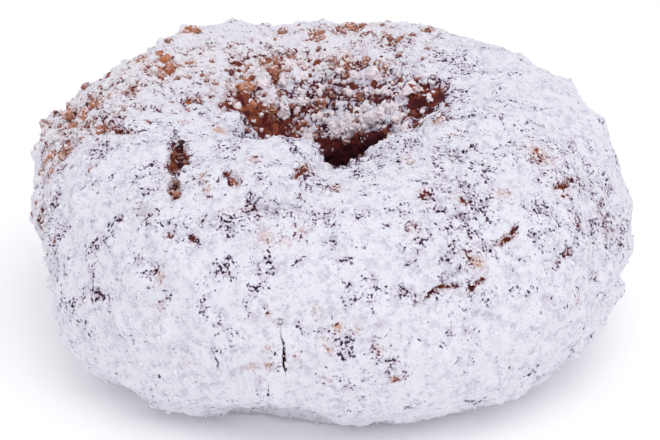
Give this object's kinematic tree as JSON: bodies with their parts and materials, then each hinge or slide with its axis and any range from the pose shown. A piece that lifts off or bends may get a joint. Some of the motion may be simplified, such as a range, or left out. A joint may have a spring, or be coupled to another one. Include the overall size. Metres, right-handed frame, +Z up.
{
  "type": "crumb doughnut",
  "caption": "Ring of cake rolled in crumbs and thick with powdered sugar, with a hole through the middle and a flat base to lie on.",
  "frame": {"origin": "on the base plane, under the middle of the doughnut's box", "axes": "+Z up along the hole, and -Y towards the side that the picture shows"},
  "size_m": [0.082, 0.0818, 0.0348],
  "materials": {
    "sugared_crust": "matt, uneven, powdery"
  },
  "bodies": {
    "root": {"crumb_doughnut": "sugared_crust"}
  },
  "joints": []
}
